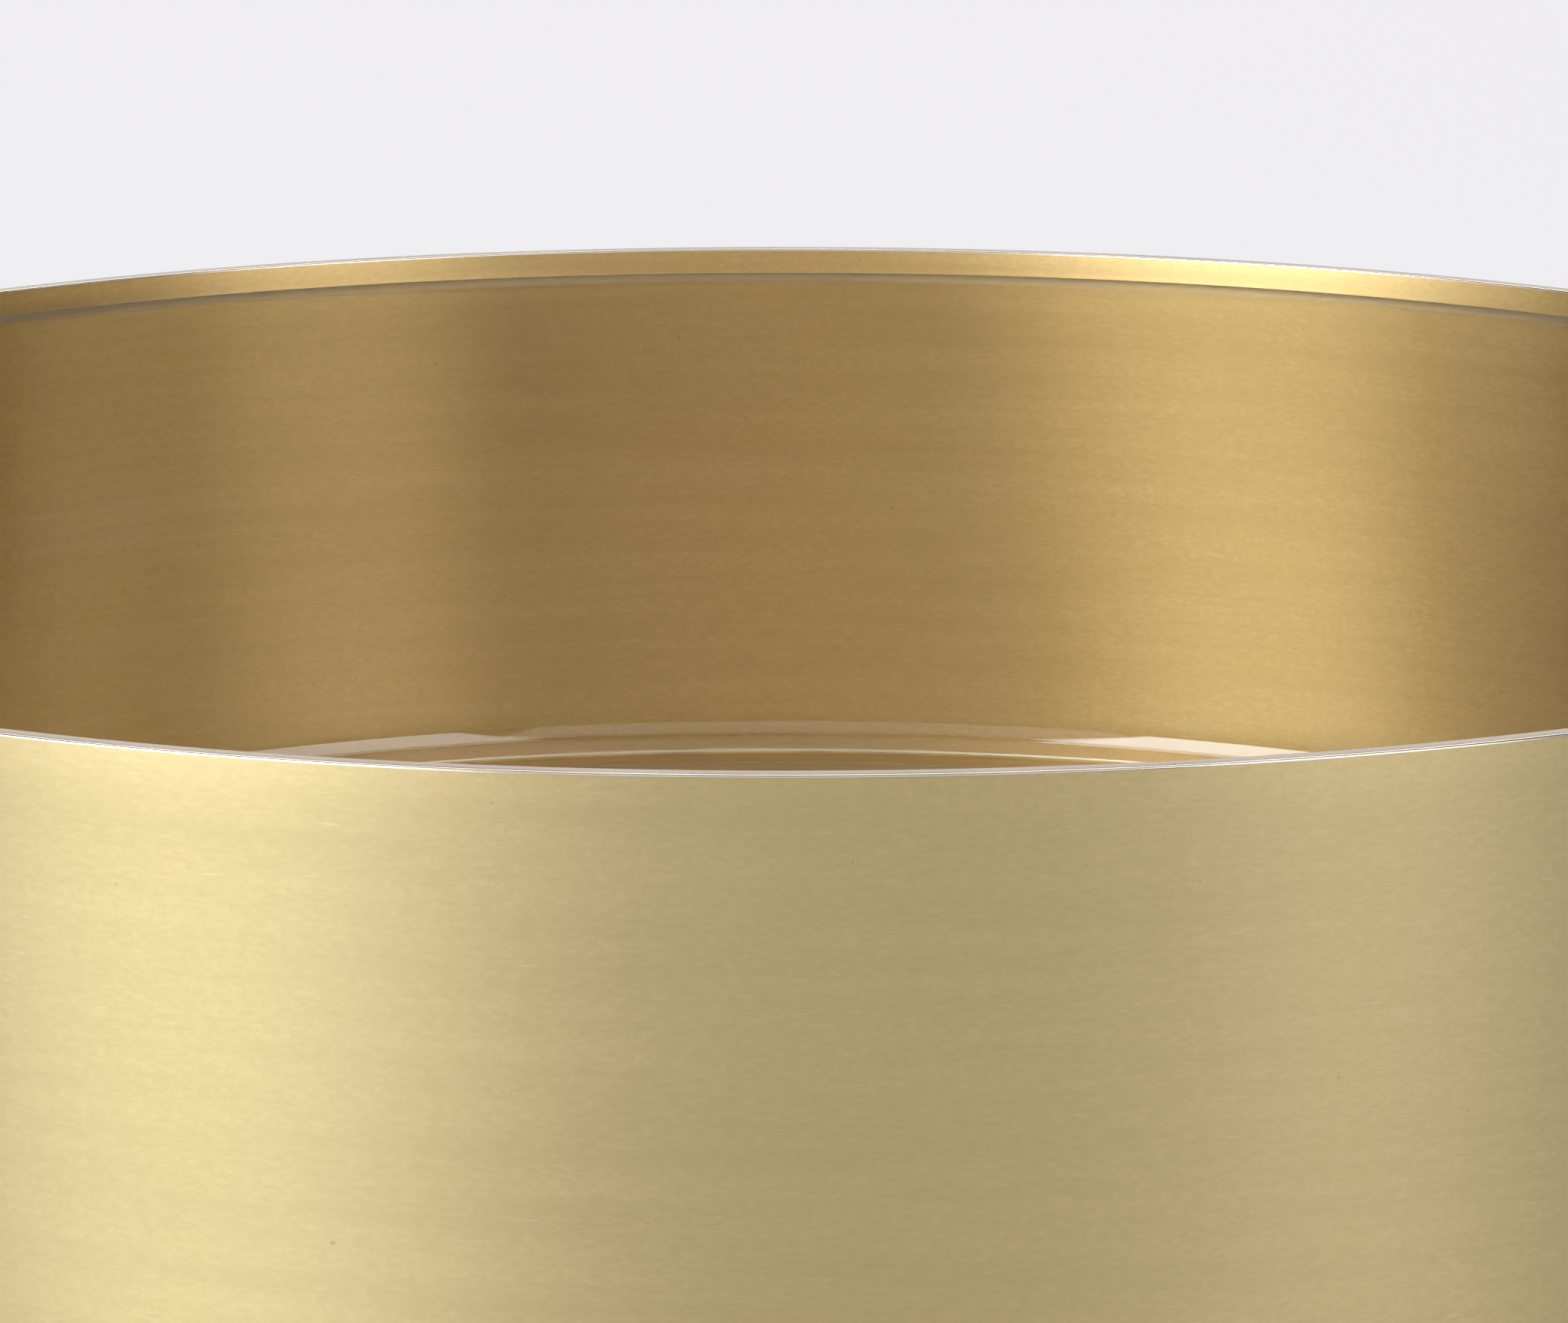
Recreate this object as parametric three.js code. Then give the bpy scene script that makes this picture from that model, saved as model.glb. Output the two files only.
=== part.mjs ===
// A low, wide brass planter pot with a clear drop-in liner.
//
// The pot is a rolled brass ring with a brass disc soldered a little way up inside it. Four rubber
// pads under the disc carry the pot a millimetre clear of the surface. The clear acrylic liner
// stands loose on the disc, with its rounded rim just below the brass rim, and lifts straight out.
//
// Units are millimetres and +Z is up. The origin is on the pot's axis, at the height of the surface
// that the pads stand on.

import * as THREE from "three";

// Pot
const OUTER_RADIUS = 150;
const POT_HEIGHT = 74; // surface to brass rim
const SHEET = 2; // brass, for the ring and for the disc
const WALL_LIFT = 1; // surface to the ring's lower edge
const FLOOR_DEPTH = 67.5; // brass rim down to the disc's upper face
const EDGE_BREAK = 0.25; // chamfer on the cut edges of the sheet
const SOLDER_LEG = 1.2; // legs of the soldered fillet, along the disc and up the ring
const JOINT_GAP = 0.15; // filled by solder or adhesive on the real pot

// Liner
const LINER_WALL = 2;
const LINER_SIDE_GAP = 1; // all round, between liner and ring
const LINER_DROP = 2.8; // brass rim down to the liner's rim
const LINER_SEAT_GAP = 0.3; // under the liner's floor
const LINER_CORNER_RADIUS = 5; // inside, between wall and floor

// Pads
const PAD_COUNT = 4;
const PAD_RADIUS = 12;
const PAD_CIRCLE_RADIUS = 118;
const PAD_EDGE_BREAK = 0.6;

// How finely round shapes are cut
const ROUND_SEGMENTS = 96;
const PAD_SEGMENTS = 32;
const CORNER_STEPS = 6;
const RIM_STEPS = 6;
const SOLDER_STEPS = 4;

// Heights and radii that follow from the dimensions above
const INNER_RADIUS = OUTER_RADIUS - SHEET;
const FLOOR_TOP = POT_HEIGHT - FLOOR_DEPTH;
const FLOOR_UNDERSIDE = FLOOR_TOP - SHEET;
const LINER_OUTER_RADIUS = INNER_RADIUS - LINER_SIDE_GAP;
const LINER_INNER_RADIUS = LINER_OUTER_RADIUS - LINER_WALL;
const LINER_UNDERSIDE = FLOOR_TOP + LINER_SEAT_GAP;
const LINER_FLOOR = LINER_UNDERSIDE + LINER_WALL;
const LINER_TOP = POT_HEIGHT - LINER_DROP;

const brass = new THREE.MeshStandardMaterial({ color: 0xd9c07c, metalness: 1, roughness: 0.34 });
const solder = new THREE.MeshStandardMaterial({ color: 0xcdb57a, metalness: 1, roughness: 0.4 });
const clearAcrylic = new THREE.MeshStandardMaterial({
  color: 0xf2f5f3,
  metalness: 0,
  roughness: 0.03,
  transparent: true,
  opacity: 0.25,
});
const rubber = new THREE.MeshStandardMaterial({ color: 0x26241f, metalness: 0, roughness: 0.85 });

// Points of an arc about (radius, height), from one angle to another, in degrees from straight out.
function arc(radius, height, size, fromDegrees, toDegrees, steps) {
  const points = [];
  for (let i = 0; i <= steps; i++) {
    const angle = THREE.MathUtils.degToRad(fromDegrees + ((toDegrees - fromDegrees) * i) / steps);
    points.push([radius + size * Math.cos(angle), height + size * Math.sin(angle)]);
  }
  return points;
}

// A rectangle in the radius-height plane with its four corners cut off, anticlockwise.
function chamferedSection(innerRadius, outerRadius, bottom, top, cut) {
  return [
    [innerRadius + cut, bottom],
    [outerRadius - cut, bottom],
    [outerRadius, bottom + cut],
    [outerRadius, top - cut],
    [outerRadius - cut, top],
    [innerRadius + cut, top],
    [innerRadius, top - cut],
    [innerRadius, bottom + cut],
  ];
}

// Turns an anticlockwise outline of [radius, height] points about the Z axis. An outline that
// doesn't start on the axis is closed into a ring.
function turned(name, outline, material, segments) {
  const startsOnAxis = outline[0][0] === 0;
  const points = (startsOnAxis ? outline : [...outline, outline[0]]).map(
    ([radius, height]) => new THREE.Vector2(radius, height),
  );
  const mesh = new THREE.Mesh(new THREE.LatheGeometry(points, segments), material);
  mesh.name = name;
  mesh.rotation.x = Math.PI / 2; // the lathe turns about +Y
  return mesh;
}

function potWall() {
  const section = chamferedSection(INNER_RADIUS, OUTER_RADIUS, WALL_LIFT, POT_HEIGHT, EDGE_BREAK);
  return turned("pot_wall", section, brass, ROUND_SEGMENTS);
}

function basePlate() {
  const radius = INNER_RADIUS - JOINT_GAP;
  const outline = [
    [0, FLOOR_UNDERSIDE],
    [radius - EDGE_BREAK, FLOOR_UNDERSIDE],
    [radius, FLOOR_UNDERSIDE + EDGE_BREAK],
    [radius, FLOOR_TOP - EDGE_BREAK],
    [radius - EDGE_BREAK, FLOOR_TOP],
    [0, FLOOR_TOP],
  ];
  return turned("base_plate", outline, brass, ROUND_SEGMENTS);
}

// The hollow fillet of solder in the corner between the disc and the ring.
function solderFillet() {
  const outerRadius = INNER_RADIUS - JOINT_GAP;
  const bottom = FLOOR_TOP + JOINT_GAP;
  const hollow = arc(
    outerRadius - SOLDER_LEG,
    bottom + SOLDER_LEG,
    SOLDER_LEG,
    0,
    -90,
    SOLDER_STEPS,
  );
  return turned("solder_fillet", [[outerRadius, bottom], ...hollow], solder, ROUND_SEGMENTS);
}

function clearLiner() {
  const cornerRadius = LINER_CORNER_RADIUS + LINER_WALL;
  const centreRadius = LINER_INNER_RADIUS - LINER_CORNER_RADIUS;
  const centreHeight = LINER_FLOOR + LINER_CORNER_RADIUS;
  const rim = LINER_WALL / 2;
  const outline = [
    [0, LINER_UNDERSIDE],
    ...arc(centreRadius, centreHeight, cornerRadius, -90, 0, CORNER_STEPS),
    ...arc(LINER_INNER_RADIUS + rim, LINER_TOP - rim, rim, 0, 180, RIM_STEPS),
    ...arc(centreRadius, centreHeight, LINER_CORNER_RADIUS, 0, -90, CORNER_STEPS),
    [0, LINER_FLOOR],
  ];
  return turned("clear_liner", outline, clearAcrylic, ROUND_SEGMENTS);
}

// A round pad stuck under the disc. Its lower edge is broken, so that it doesn't pick up.
function footPad(index) {
  const outline = [
    [0, 0],
    [PAD_RADIUS - PAD_EDGE_BREAK, 0],
    [PAD_RADIUS, PAD_EDGE_BREAK],
    [PAD_RADIUS, FLOOR_UNDERSIDE - JOINT_GAP],
    [0, FLOOR_UNDERSIDE - JOINT_GAP],
  ];
  const pad = turned(`foot_pad_${index + 1}`, outline, rubber, PAD_SEGMENTS);
  const angle = ((index + 0.5) * 2 * Math.PI) / PAD_COUNT;
  pad.position.set(PAD_CIRCLE_RADIUS * Math.cos(angle), PAD_CIRCLE_RADIUS * Math.sin(angle), 0);
  return pad;
}

const pot = new THREE.Group();
pot.name = "pot";
pot.add(potWall(), basePlate(), solderFillet());
for (let i = 0; i < PAD_COUNT; i++) pot.add(footPad(i));

const planter = new THREE.Group();
planter.name = "brass_planter";
planter.add(pot, clearLiner());

export default planter;
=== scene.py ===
"""A low brass planter pot with a clear lift-out liner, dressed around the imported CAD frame."""

import math

import bpy
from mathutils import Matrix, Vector


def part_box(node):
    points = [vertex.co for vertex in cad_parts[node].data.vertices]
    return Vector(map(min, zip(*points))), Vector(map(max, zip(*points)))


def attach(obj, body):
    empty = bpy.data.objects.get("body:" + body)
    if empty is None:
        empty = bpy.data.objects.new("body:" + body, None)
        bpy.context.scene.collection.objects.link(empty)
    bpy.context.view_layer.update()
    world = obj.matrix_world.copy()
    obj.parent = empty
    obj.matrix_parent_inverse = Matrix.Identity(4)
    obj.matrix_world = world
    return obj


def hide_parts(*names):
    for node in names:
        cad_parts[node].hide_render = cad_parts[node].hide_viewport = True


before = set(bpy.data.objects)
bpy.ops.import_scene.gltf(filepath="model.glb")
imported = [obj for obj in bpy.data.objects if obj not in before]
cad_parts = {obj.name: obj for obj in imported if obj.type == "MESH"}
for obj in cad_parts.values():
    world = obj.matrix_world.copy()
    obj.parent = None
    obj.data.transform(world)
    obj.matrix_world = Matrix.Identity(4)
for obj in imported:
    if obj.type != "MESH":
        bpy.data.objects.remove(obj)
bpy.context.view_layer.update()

MM = 0.001

# Sizes read from the frame
WALL_LOW, WALL_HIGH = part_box("pot_wall")
BASE_LOW, BASE_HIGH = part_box("base_plate")
LINER_LOW, LINER_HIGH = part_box("clear_liner")
PAD_NAMES = [name for name in sorted(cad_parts) if name.startswith("foot_pad")]

OUTER_RADIUS = WALL_HIGH.x
RIM_HEIGHT = WALL_HIGH.z
WALL_FOOT = WALL_LOW.z
SHEET = BASE_HIGH.z - BASE_LOW.z
INNER_RADIUS = OUTER_RADIUS - SHEET
FLOOR_TOP = BASE_HIGH.z
FLOOR_UNDERSIDE = BASE_LOW.z
LINER_RADIUS = LINER_HIGH.x
LINER_UNDERSIDE = LINER_LOW.z
LINER_TOP = LINER_HIGH.z

# Details finer than the CAD holds
EDGE_BREAK = 0.22 * MM  # rounding on the cut edges of the brass sheet
LINER_WALL = 2.0 * MM
LINER_CORNER = 5.0 * MM  # inside radius between the liner's wall and floor
SOLDER_LEG = 1.2 * MM
SOLDER_WAVE = 0.05 * MM  # how far the hand-run solder wanders
WALL_STEP = 6 * MM  # longest stretch of the ring's section between two points
PAD_BEVEL = 0.8 * MM
PAD_TAPER = 0.3 * MM

# Segments round the axis, and steps of the arcs in the sections
FINE_RING = 720
PLATE_RING = 360
PAD_RING = 96
EDGE_STEPS = 4
SOLDER_STEPS = 10
LINER_CORNER_STEPS = 24
LINER_RIM_STEPS = 20
PAD_STEPS = 6

# Camera, in outer radii and degrees
CAMERA_DISTANCE = 4.5
CAMERA_RISE = 0.813  # above the rim
CAMERA_TILT = 12.07  # below the horizontal
CAMERA_LENS = 148.8

# Stage
FLOOR_HALF = 6.0
FLOOR_GLOW = 1.1  # strength of the even part of the floor
FLOOR_EVEN = 0.75  # share of the even part in what the camera sees
WORLD_GLOW = 0.015
PALE = (0.871, 0.863, 0.888, 1)
DAYLIGHT = (0.94, 1.0, 1.06)
NEUTRAL = (1.0, 0.98, 1.0)
WARM = (1.05, 0.97, 0.92)

# Brass, darker and lighter along the grain. The outside is the same brass as the inside, painted darker
# as painted shade
OUTSIDE_BRASS_PAINTED_SHADE = ((0.625, 0.507, 0.26, 1), (0.70, 0.573, 0.305, 1))
INSIDE_BRASS = ((0.82, 0.60, 0.262, 1), (0.94, 0.695, 0.312, 1))
BRIGHT_STROKE = (0.96, 0.86, 0.62, 1)
SPECK_BROWN = (0.22, 0.15, 0.08, 1)


# ---------------------------------------------------------------- geometry


def arc(radius, height, size, start, end, steps):
    """Points of an arc about (radius, height), from one angle to another in degrees."""
    points = []
    for i in range(steps + 1):
        angle = math.radians(start + (end - start) * i / steps)
        points.append((radius + size * math.cos(angle), height + size * math.sin(angle)))
    return points


def rounded_section(inner, outer, bottom, top, edge, steps):
    """A rectangle in the radius-height plane with rounded corners, anticlockwise."""
    return (
        arc(outer - edge, bottom + edge, edge, -90, 0, steps)
        + arc(outer - edge, top - edge, edge, 0, 90, steps)
        + arc(inner + edge, top - edge, edge, 90, 180, steps)
        + arc(inner + edge, bottom + edge, edge, 180, 270, steps)
    )


def subdivided(outline, longest):
    """The same closed outline with its long edges split, so that no edge is over the length given."""
    points = []
    for a, b in zip(outline, outline[1:] + outline[:1]):
        pieces = max(1, math.ceil(math.dist(a, b) / longest))
        for i in range(pieces):
            points.append((a[0] + (b[0] - a[0]) * i / pieces, a[1] + (b[1] - a[1]) * i / pieces))
    return points


def new_object(name, vertices, faces):
    mesh = bpy.data.meshes.new(name)
    mesh.from_pydata(vertices, [], faces)
    mesh.validate()
    mesh.update()
    obj = bpy.data.objects.new(name, mesh)
    bpy.context.scene.collection.objects.link(obj)
    return obj


def turned(name, outline, segments, centre=(0.0, 0.0), wobble=None):
    """Turns an anticlockwise outline about the vertical through centre, as a closed mesh.

    An outline that starts and ends on the axis gets one vertex at each pole. wobble(angle, radius,
    height) gives the place of a point in the radius-height plane where the piece isn't quite round.
    """
    capped = outline[0][0] == 0
    ring = outline[1:-1] if capped else outline
    count = len(ring)
    vertices = []
    for s in range(segments):
        angle = 2 * math.pi * s / segments
        for radius, height in ring:
            if wobble:
                radius, height = wobble(angle, radius, height)
            x = centre[0] + radius * math.cos(angle)
            y = centre[1] + radius * math.sin(angle)
            vertices.append((x, y, height))
    faces = []
    steps = count - 1 if capped else count
    for s in range(segments):
        this, after = s * count, (s + 1) % segments * count
        for i in range(steps):
            j = (i + 1) % count
            faces.append((this + i, after + i, after + j, this + j))
    if capped:
        low, high = len(vertices), len(vertices) + 1
        vertices += [(*centre, outline[0][1]), (*centre, outline[-1][1])]
        for s in range(segments):
            this, after = s * count, (s + 1) % segments * count
            faces.append((low, after, this))
            faces.append((high, this + count - 1, after + count - 1))
    return new_object(name, vertices, faces)


def smooth(obj, degrees):
    """Shades smooth, with a hard edge wherever two faces meet at more than the angle given."""
    obj.data.polygons.foreach_set("use_smooth", [True] * len(obj.data.polygons))
    obj.data.set_sharp_from_angle(angle=math.radians(degrees))
    return obj


# ---------------------------------------------------------------- materials


class Nodes:
    """A material's node tree, with short ways to add and join nodes."""

    def __init__(self, name):
        self.material = bpy.data.materials.new(name)
        self.material.use_nodes = True
        self.tree = self.material.node_tree
        self.tree.nodes.clear()
        self.output = self.add("ShaderNodeOutputMaterial")

    def add(self, kind, **settings):
        node = self.tree.nodes.new(kind)
        for key, value in settings.items():
            setattr(node, key, value)
        return node

    def join(self, source, target):
        self.tree.links.new(source, target)

    def feed(self, target, value):
        if isinstance(value, bpy.types.NodeSocket):
            self.join(value, target)
        else:
            target.default_value = value

    def math(self, operation, a, b=0.0, c=0.0):
        node = self.add("ShaderNodeMath", operation=operation)
        for socket, value in zip(node.inputs, (a, b, c)):
            self.feed(socket, value)
        return node.outputs[0]

    def ramp(self, value, low, high, to_low=0.0, to_high=1.0):
        """Maps low..high to to_low..to_high smoothly, and holds the ends."""
        node = self.add("ShaderNodeMapRange", interpolation_type="SMOOTHSTEP")
        for socket, number in zip(node.inputs, (value, low, high, to_low, to_high)):
            self.feed(socket, number)
        return node.outputs[0]

    def mix(self, factor, a, b):
        node = self.add("ShaderNodeMix", data_type="RGBA")
        self.feed(node.inputs[0], factor)
        self.feed(node.inputs[6], a)
        self.feed(node.inputs[7], b)
        return node.outputs[2]

    def place(self):
        """The object's own coordinates, in metres."""
        return self.add("ShaderNodeTexCoord").outputs["Object"]

    def split(self, vector):
        node = self.add("ShaderNodeSeparateXYZ")
        self.join(vector, node.inputs[0])
        return node.outputs

    def noise(self, vector, scale, detail=2.0, roughness=0.5):
        node = self.add("ShaderNodeTexNoise")
        self.feed(node.inputs["Vector"], vector)
        node.inputs["Scale"].default_value = scale
        node.inputs["Detail"].default_value = detail
        node.inputs["Roughness"].default_value = roughness
        return node.outputs["Fac"]

    def combine(self, x, y, z):
        node = self.add("ShaderNodeCombineXYZ")
        for socket, value in zip(node.inputs, (x, y, z)):
            self.feed(socket, value)
        return node.outputs[0]

    def bump(self, height, strength, distance):
        node = self.add("ShaderNodeBump")
        node.inputs["Strength"].default_value = strength
        node.inputs["Distance"].default_value = distance
        self.join(height, node.inputs["Height"])
        return node.outputs[0]

    def principled(self, **inputs):
        shader = self.add("ShaderNodeBsdfPrincipled")
        for name, value in inputs.items():
            self.feed(shader.inputs[name.replace("_", " ")], value)
        self.join(shader.outputs[0], self.output.inputs["Surface"])

    def blend(self, factor, a, b):
        """A mix of two shaders."""
        node = self.add("ShaderNodeMixShader")
        for socket, source in zip(node.inputs, (factor, a, b)):
            self.join(source, socket)
        return node.outputs[0]


def brushed_brass(name, shades, roughness):
    """Brass brushed round the pot: short fine hairlines, long faint bands, a soft mottle, a few specks.

    The grooves run round the pot, so the surface is smooth along them and rough up and down.
    """
    darker, lighter = shades
    nodes = Nodes(name)
    place = nodes.place()
    x, y, z = nodes.split(place)

    def strokes(across, upright, seed, detail):
        """Noise stretched round the pot: its cells are 1/across wide and 1/upright high."""
        stretched = nodes.combine(
            nodes.math("MULTIPLY", x, across),
            nodes.math("MULTIPLY", y, across),
            nodes.math("MULTIPLY_ADD", z, upright, seed),
        )
        return nodes.noise(stretched, 1.0, detail, 0.6)

    def weighted(a, share, b):
        """share of a and the rest of b."""
        return nodes.math("ADD", nodes.math("MULTIPLY", a, share), nodes.math("MULTIPLY", b, 1 - share))

    hairline = strokes(800.0, 2600.0, 3.0, 2.0)
    band = strokes(25.0, 500.0, 11.0, 3.0)
    mottle = nodes.noise(place, 1500.0, 2.0, 0.6)
    cloud = nodes.noise(place, 22.0, 3.0, 0.55)
    bright = nodes.ramp(strokes(300.0, 3600.0, 29.0, 0.0), 0.80, 0.88)
    speck = nodes.ramp(nodes.noise(place, 1300.0, 0.0), 0.885, 0.92)

    base = nodes.mix(nodes.ramp(weighted(hairline, 0.55, band), 0.3, 0.7), darker, lighter)
    base = nodes.mix(nodes.ramp(mottle, 0.35, 0.65, 0.0, 0.4), base, darker)
    base = nodes.mix(nodes.math("MULTIPLY", bright, 0.14), base, BRIGHT_STROKE)
    base = nodes.mix(nodes.math("MULTIPLY", speck, 0.28), base, SPECK_BROWN)
    patchy = nodes.ramp(cloud, 0.3, 0.7, roughness - 0.02, roughness + 0.02)
    rough = nodes.math("ADD", nodes.ramp(band, 0.25, 0.75, -0.02, 0.02), patchy)
    nodes.principled(
        Base_Color=base,
        Metallic=1.0,
        Roughness=rough,
        Anisotropic=0.78,
        Anisotropic_Rotation=0.25,
        Normal=nodes.bump(weighted(hairline, 0.7, mottle), 0.08, 0.03 * MM),
        Tangent=nodes.add("ShaderNodeTangent", direction_type="RADIAL", axis="Z").outputs[0],
    )
    return nodes.material


def cut_edge_brass():
    """The sheet's cut edge, ground flat: paler and smoother than the faces."""
    nodes = Nodes("cut_edge_brass")
    place = nodes.place()
    cloud = nodes.noise(place, 60.0, 2.0)
    base = nodes.mix(nodes.ramp(cloud, 0.35, 0.65), (0.72, 0.665, 0.56, 1), (0.78, 0.725, 0.63, 1))
    rough = nodes.ramp(cloud, 0.3, 0.7, 0.17, 0.22)
    normal = nodes.bump(nodes.noise(place, 900.0, 2.0), 0.08, 0.03 * MM)
    nodes.principled(Base_Color=base, Metallic=1.0, Roughness=rough, Normal=normal)
    return nodes.material


def rolled_brass():
    """The disc of the floor: sheet brass with straight rolling grain along X."""
    nodes = Nodes("rolled_brass")
    place = nodes.place()
    x, y, z = nodes.split(place)
    stretched = nodes.combine(nodes.math("MULTIPLY", x, 30.0), nodes.math("MULTIPLY", y, 2600.0), z)
    grain = nodes.noise(stretched, 1.0, 3.0, 0.6)
    cloud = nodes.noise(place, 18.0, 3.0)
    base = nodes.mix(nodes.ramp(grain, 0.3, 0.7), (0.64, 0.46, 0.22, 1), (0.72, 0.53, 0.27, 1))
    patchy = nodes.ramp(cloud, 0.3, 0.7, 0.42, 0.5)
    rough = nodes.math("ADD", patchy, nodes.ramp(grain, 0.2, 0.8, -0.03, 0.03))
    normal = nodes.bump(grain, 0.15, 0.05 * MM)
    nodes.principled(Base_Color=base, Metallic=1.0, Roughness=rough, Normal=normal)
    return nodes.material


def solder_brass():
    """Brass-coloured solder, smooth where it flowed, a little paler than the sheet."""
    nodes = Nodes("solder_brass")
    flow = nodes.noise(nodes.place(), 120.0, 3.0)
    base = nodes.mix(nodes.ramp(flow, 0.35, 0.65), (0.80, 0.64, 0.38, 1), (0.88, 0.72, 0.44, 1))
    rough = nodes.ramp(flow, 0.3, 0.7, 0.4, 0.5)
    normal = nodes.bump(flow, 0.15, 0.1 * MM)
    nodes.principled(Base_Color=base, Metallic=1.0, Roughness=rough, Normal=normal)
    return nodes.material


def clear_acrylic(name, smoothest, roughest):
    """Clear acrylic, polished or sanded, with a roughness that varies between the two given."""
    nodes = Nodes(name)
    haze = nodes.noise(nodes.place(), 40.0, 4.0, 0.6)
    rough = nodes.ramp(haze, 0.45, 0.75, smoothest, roughest)
    nodes.principled(
        Base_Color=(0.985, 0.99, 0.985, 1),
        Roughness=rough,
        IOR=1.49,
        Transmission_Weight=1.0,
    )
    return nodes.material


def pad_rubber():
    """Dark moulded rubber with a fine matt grain."""
    nodes = Nodes("pad_rubber")
    place = nodes.place()
    grain = nodes.noise(place, 1800.0, 3.0, 0.6)
    cloud = nodes.noise(place, 160.0, 2.0)
    base = nodes.mix(nodes.ramp(cloud, 0.3, 0.7), (0.022, 0.021, 0.019, 1), (0.036, 0.034, 0.031, 1))
    rough = nodes.ramp(grain, 0.3, 0.7, 0.6, 0.85)
    normal = nodes.bump(grain, 0.35, 0.1 * MM)
    nodes.principled(Base_Color=base, Roughness=rough, Normal=normal)
    return nodes.material


def floor_paint():
    """The plain pale floor. Seen from below it is clear, so that it never hides the underside.

    For the camera alone it is partly self-lit, so that its tone is even.
    """
    nodes = Nodes("floor_paint")
    pale = nodes.add("ShaderNodeBsdfDiffuse")
    pale.inputs["Color"].default_value = (0.76, 0.755, 0.77, 1)
    even = nodes.add("ShaderNodeEmission")
    even.inputs["Color"].default_value = PALE
    even.inputs["Strength"].default_value = FLOOR_GLOW
    to_camera = nodes.add("ShaderNodeLightPath").outputs["Is Camera Ray"]
    above = nodes.blend(nodes.math("MULTIPLY", to_camera, FLOOR_EVEN), pale.outputs[0], even.outputs[0])
    below = nodes.add("ShaderNodeBsdfTransparent").outputs[0]
    side = nodes.add("ShaderNodeNewGeometry").outputs["Backfacing"]
    nodes.join(nodes.blend(side, above, below), nodes.output.inputs["Surface"])
    return nodes.material


# ---------------------------------------------------------------- pieces


def finish_piece(obj, body, slot, *nodes_replaced):
    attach(obj, body)
    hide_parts(*nodes_replaced)


def make_pot_wall():
    """The rolled ring, with brass outside, inside and on the cut edges. The outside brass is the inside
    brass painted darker, as painted shade.
    """
    section = rounded_section(INNER_RADIUS, OUTER_RADIUS, WALL_FOOT, RIM_HEIGHT, EDGE_BREAK, EDGE_STEPS)
    wall = smooth(turned("brass_wall", subdivided(section, WALL_STEP), FINE_RING), 40)
    # The outside brass is painted darker than the inside: painted shade on the same sheet of brass.
    wall.data.materials.append(brushed_brass("brass_outside_painted_shade", OUTSIDE_BRASS_PAINTED_SHADE, 0.5))
    wall.data.materials.append(brushed_brass("brass_inside", INSIDE_BRASS, 0.42))
    wall.data.materials.append(cut_edge_brass())
    for face in wall.data.polygons:
        place = face.center
        if min(RIM_HEIGHT - place.z, place.z - WALL_FOOT) < EDGE_BREAK:
            face.material_index = 2
        elif math.hypot(place.x, place.y) < OUTER_RADIUS - SHEET / 2:
            face.material_index = 1
    finish_piece(wall, "pot", "brass", "pot_wall")


def make_base_plate():
    edge = EDGE_BREAK
    outline = (
        [(0, FLOOR_UNDERSIDE)]
        + arc(INNER_RADIUS - edge, FLOOR_UNDERSIDE + edge, edge, -90, 0, EDGE_STEPS)
        + arc(INNER_RADIUS - edge, FLOOR_TOP - edge, edge, 0, 90, EDGE_STEPS)
        + [(0, FLOOR_TOP)]
    )
    plate = smooth(turned("brass_base_plate", outline, PLATE_RING), 40)
    plate.data.materials.append(rolled_brass())
    finish_piece(plate, "pot", "brass", "base_plate")


def make_solder():
    """The fillet's legs wander a little, as solder run by hand does."""
    corner_radius, corner_height = INNER_RADIUS, FLOOR_TOP

    def wobble(angle, radius, height):
        wave = math.sin(5 * angle) + 0.7 * math.sin(11 * angle + 1.3) + 0.3 * math.sin(17 * angle + 0.4)
        grow = 1 + SOLDER_WAVE / SOLDER_LEG * (wave / 2 - 1)
        radius = corner_radius + (radius - corner_radius) * grow
        height = corner_height + (height - corner_height) * grow
        return radius, height

    centre = (corner_radius - SOLDER_LEG, corner_height + SOLDER_LEG)
    hollow = arc(*centre, SOLDER_LEG, 0, -90, SOLDER_STEPS)
    outline = [(corner_radius, corner_height)] + hollow
    fillet = smooth(turned("solder_run", outline, FINE_RING, wobble=wobble), 40)
    fillet.data.materials.append(solder_brass())
    finish_piece(fillet, "pot", "solder", "solder_fillet")


def make_liner():
    """The clear liner, polished all over but for its sanded rim."""
    inner = LINER_RADIUS - LINER_WALL
    floor = LINER_UNDERSIDE + LINER_WALL
    lip = LINER_WALL / 2
    corner = (inner - LINER_CORNER, floor + LINER_CORNER)
    outline = (
        [(0, LINER_UNDERSIDE)]
        + arc(*corner, LINER_CORNER + LINER_WALL, -90, 0, LINER_CORNER_STEPS)
        + arc(inner + lip, LINER_TOP - lip, lip, 0, 180, LINER_RIM_STEPS)
        + arc(*corner, LINER_CORNER, 0, -90, LINER_CORNER_STEPS)
        + [(0, floor)]
    )
    liner = smooth(turned("acrylic_liner", outline, FINE_RING), 60)
    liner.data.materials.append(clear_acrylic("clear_acrylic", 0.0, 0.03))
    liner.data.materials.append(clear_acrylic("sanded_acrylic", 0.52, 0.62))
    for face in liner.data.polygons:
        if face.center.z > LINER_TOP - lip:
            face.material_index = 1
    finish_piece(liner, "liner", "clear_acrylic", "clear_liner")


def make_pads():
    rubber = pad_rubber()
    for name in PAD_NAMES:
        low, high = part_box(name)
        centre = ((low.x + high.x) / 2, (low.y + high.y) / 2)
        radius = (high.x - low.x) / 2
        outline = (
            [(0, low.z)]
            + arc(radius - PAD_BEVEL, low.z + PAD_BEVEL, PAD_BEVEL, -90, 0, PAD_STEPS)
            + [(radius - PAD_TAPER, FLOOR_UNDERSIDE), (0, FLOOR_UNDERSIDE)]
        )
        pad = smooth(turned("rubber_pad_" + name[-1], outline, PAD_RING, centre=centre), 50)
        pad.data.materials.append(rubber)
        finish_piece(pad, "pot", "rubber", name)


# ---------------------------------------------------------------- stage


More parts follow.
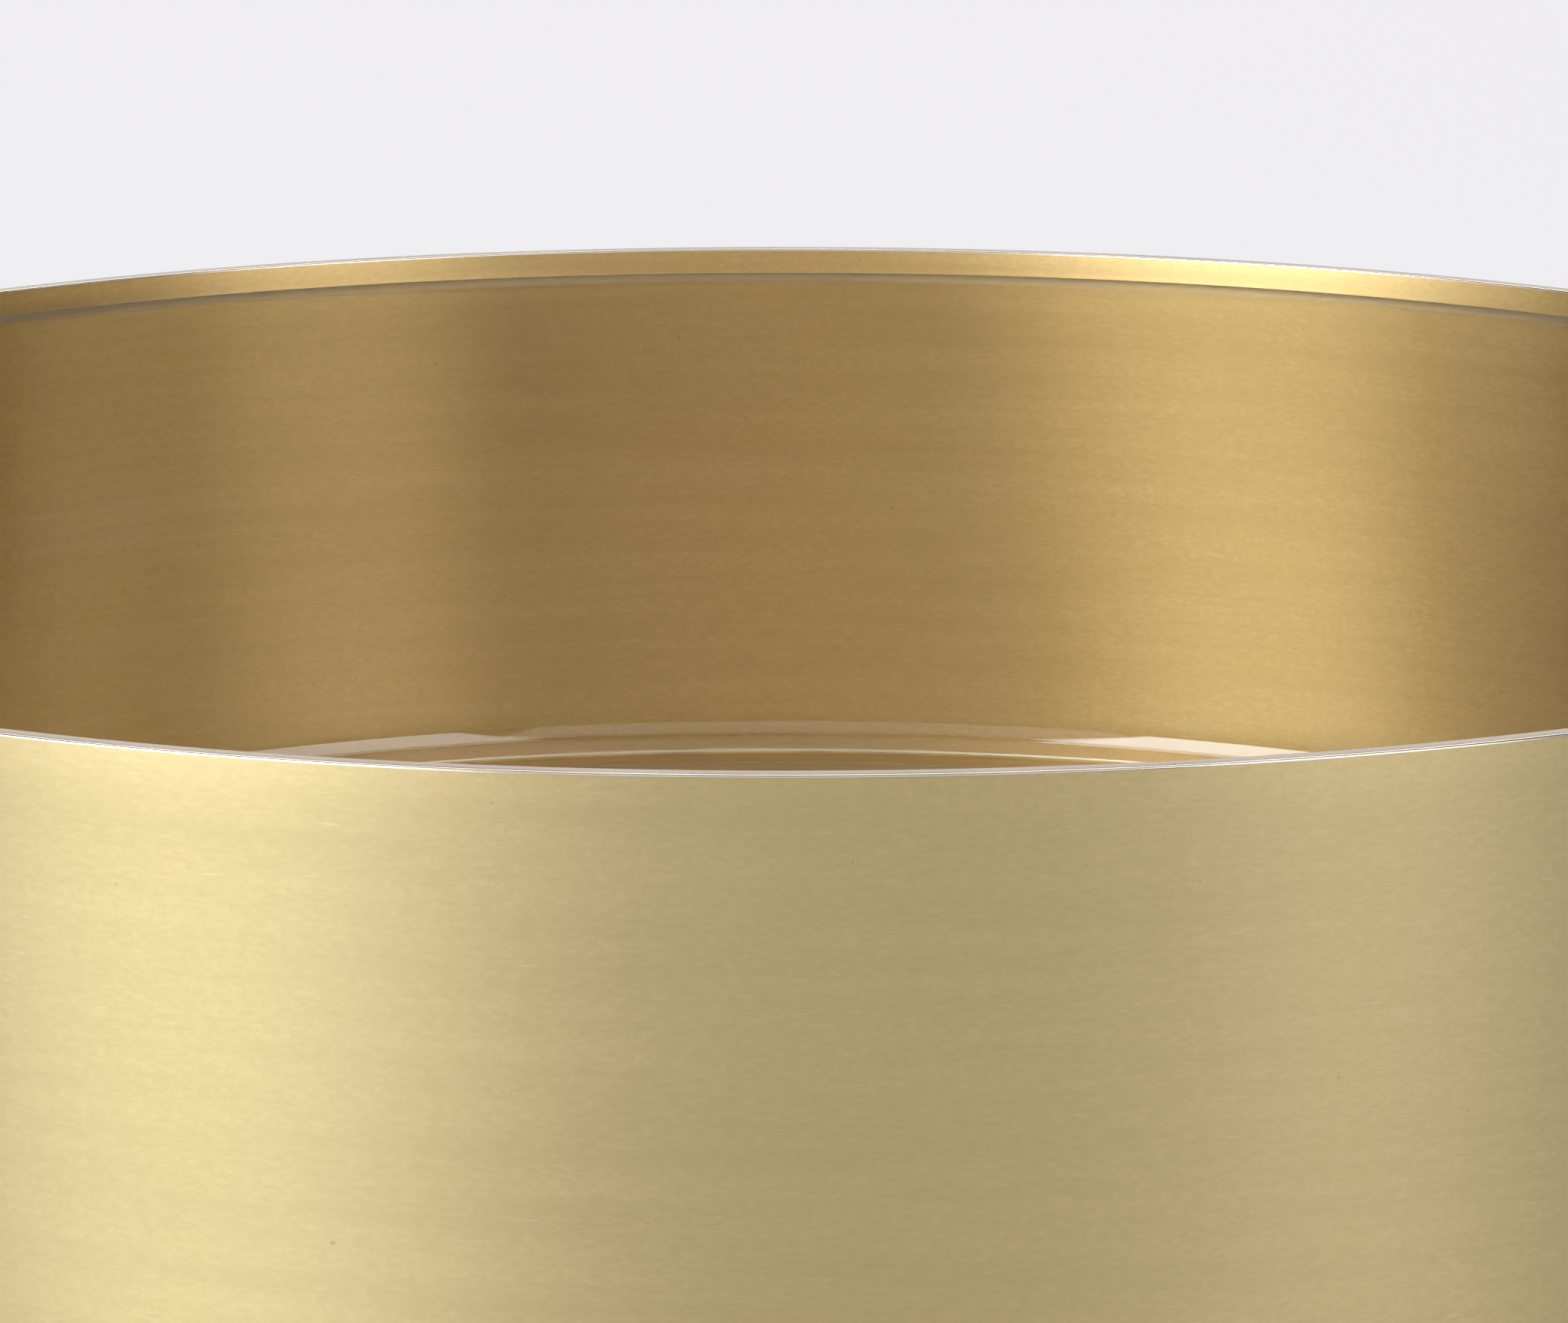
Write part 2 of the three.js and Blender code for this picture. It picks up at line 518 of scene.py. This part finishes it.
def make_camera():
    """A long lens close to the rim, so that only the front of the pot and its far inside wall show."""
    data = bpy.data.cameras.new("camera")
    data.sensor_width = 36.0
    data.lens = CAMERA_LENS
    camera = bpy.data.objects.new("camera", data)
    camera.location = (0, -CAMERA_DISTANCE * OUTER_RADIUS, RIM_HEIGHT + CAMERA_RISE * OUTER_RADIUS)
    camera.rotation_euler = (math.radians(90 - CAMERA_TILT), 0, 0)
    bpy.context.scene.collection.objects.link(camera)
    bpy.context.scene.camera = camera


def make_floor():
    half = FLOOR_HALF
    corners = [(-half, -half, 0), (half, -half, 0), (half, half, 0), (-half, half, 0)]
    floor = new_object("floor", corners, [(0, 1, 2, 3)])
    floor.data.materials.append(floor_paint())


def make_softbox(name, azimuth, elevation, distance, size, radiance, colour):
    """A rectangular lamp facing the rim. Azimuth 0 is the camera's side and 90 is to its right."""
    data = bpy.data.lights.new(name, "AREA")
    data.shape = "RECTANGLE"
    data.size, data.size_y = size
    data.energy = radiance * math.pi * data.size * data.size_y
    data.color = colour
    lamp = bpy.data.objects.new(name, data)
    a, e = math.radians(azimuth), math.radians(elevation)
    target = Vector((0, 0, RIM_HEIGHT))
    lamp.location = target + distance * Vector(
        (math.sin(a) * math.cos(e), -math.cos(a) * math.cos(e), math.sin(e))
    )
    lamp.rotation_euler = (lamp.location - target).to_track_quat("Z", "Y").to_euler()
    lamp.visible_camera = False
    bpy.context.scene.collection.objects.link(lamp)


def make_lamps():
    make_softbox("key", -48.5, 34, 2.2, (1.02, 1.35), 6.3, DAYLIGHT)
    make_softbox("key_side", -76, 34, 2.2, (0.5, 1.35), 0.7, WARM)
    make_softbox("low_left", -64, 5, 2.2, (0.9, 0.39), 1.3, WARM)
    make_softbox("low_front_left", -38.5, 5, 2.2, (1.38, 0.39), 2.8, NEUTRAL)
    make_softbox("front", -4, 26, 2.2, (2.3, 1.5), 0.85, WARM)
    make_softbox("ceiling", 0, 86, 2.2, (2.4, 2.4), 0.6, NEUTRAL)
    make_softbox("fill_low", 44, 6, 2.2, (0.9, 0.4), 1.6, NEUTRAL)
    make_softbox("fill", 43, 30, 2.2, (0.9, 1.3), 2.7, NEUTRAL)
    make_softbox("side_right", 75, 32, 2.2, (0.6, 1.0), 0.9, NEUTRAL)
    make_softbox("back", 180, 40, 2.4, (1.6, 0.9), 3.4, WARM)
    make_softbox("backdrop", 180, 11, 2.4, (3.2, 0.9), 0.64, WARM)


def make_world():
    """Nearly dark to the pot, which the softboxes light, and pale to the camera."""
    world = bpy.data.worlds.new("studio")
    world.use_nodes = True
    tree = world.node_tree
    seen = tree.nodes.new("ShaderNodeMix")
    tree.links.new(tree.nodes.new("ShaderNodeLightPath").outputs["Is Camera Ray"], seen.inputs[0])
    seen.inputs[2].default_value = WORLD_GLOW
    seen.inputs[3].default_value = 1.0
    backdrop = tree.nodes["Background"]
    tree.links.new(seen.outputs[0], backdrop.inputs["Strength"])
    backdrop.inputs["Color"].default_value = PALE
    bpy.context.scene.world = world
    bpy.context.scene.view_settings.view_transform = "Standard"


make_camera()
make_floor()
make_world()
make_lamps()

make_pot_wall()
make_base_plate()
make_solder()
make_liner()
make_pads()
